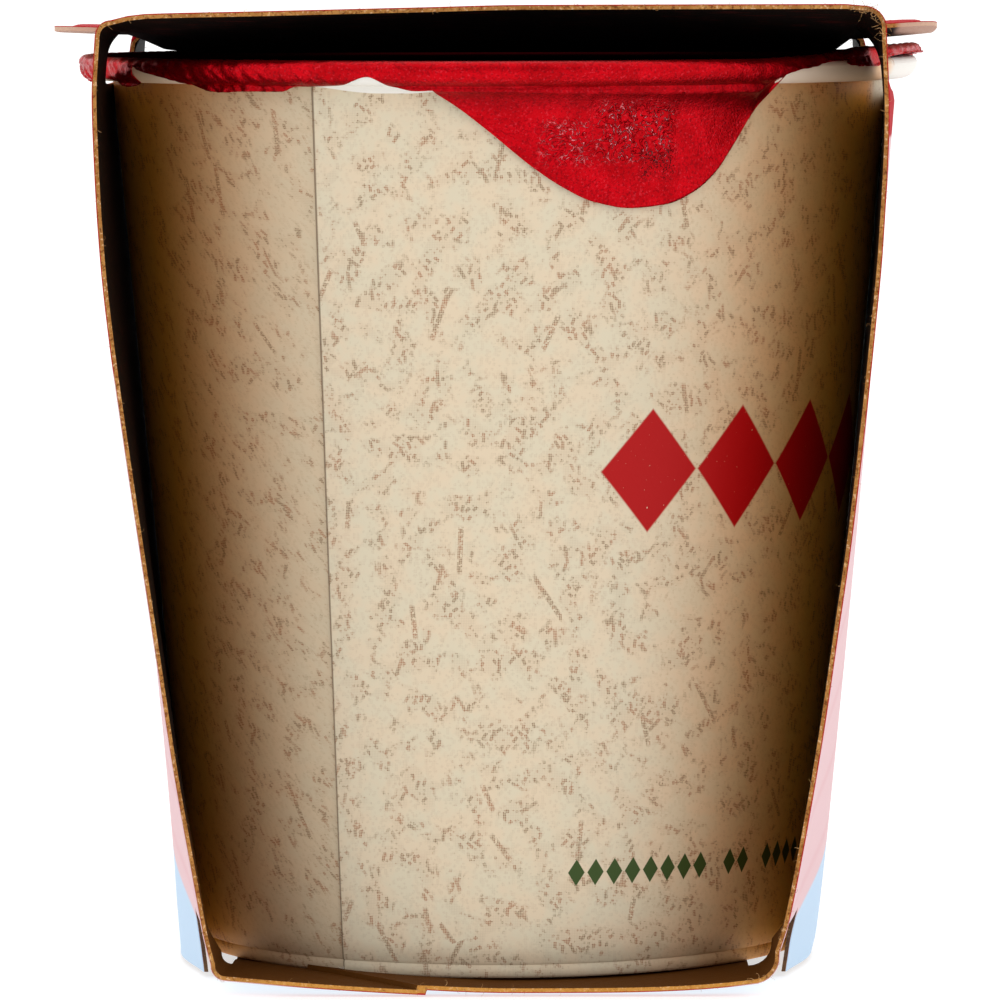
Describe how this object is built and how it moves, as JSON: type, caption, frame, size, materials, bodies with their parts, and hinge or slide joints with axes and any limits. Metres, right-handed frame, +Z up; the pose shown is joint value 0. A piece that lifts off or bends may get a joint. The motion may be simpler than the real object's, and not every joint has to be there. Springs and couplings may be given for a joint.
{
  "type": "yogurt pot",
  "caption": "Tapered paper yogurt pot with a red foil lid and pull tab, held in an open-ended cardboard sleeve slotted for its rim and foot.",
  "frame": {"origin": "middle of the sleeve's underside, on the pot's axis", "axes": "+Z up along the pot's axis, Y through the sleeve's open ends with -Y towards the pull tab, +X to the right seen from -Y"},
  "size_m": [0.07, 0.068, 0.0763],
  "materials": {
    "paper_print": "coated beige paper with brown speckles, satin",
    "red_foil": "red lacquered foil, crumpled, glossy",
    "kraft_board": "brown kraft inside, matte; red, pink and light blue print outside"
  },
  "bodies": {
    "root": {"cup": "paper_print", "lid": "red_foil", "sleeve": "kraft_board"}
  },
  "joints": []
}
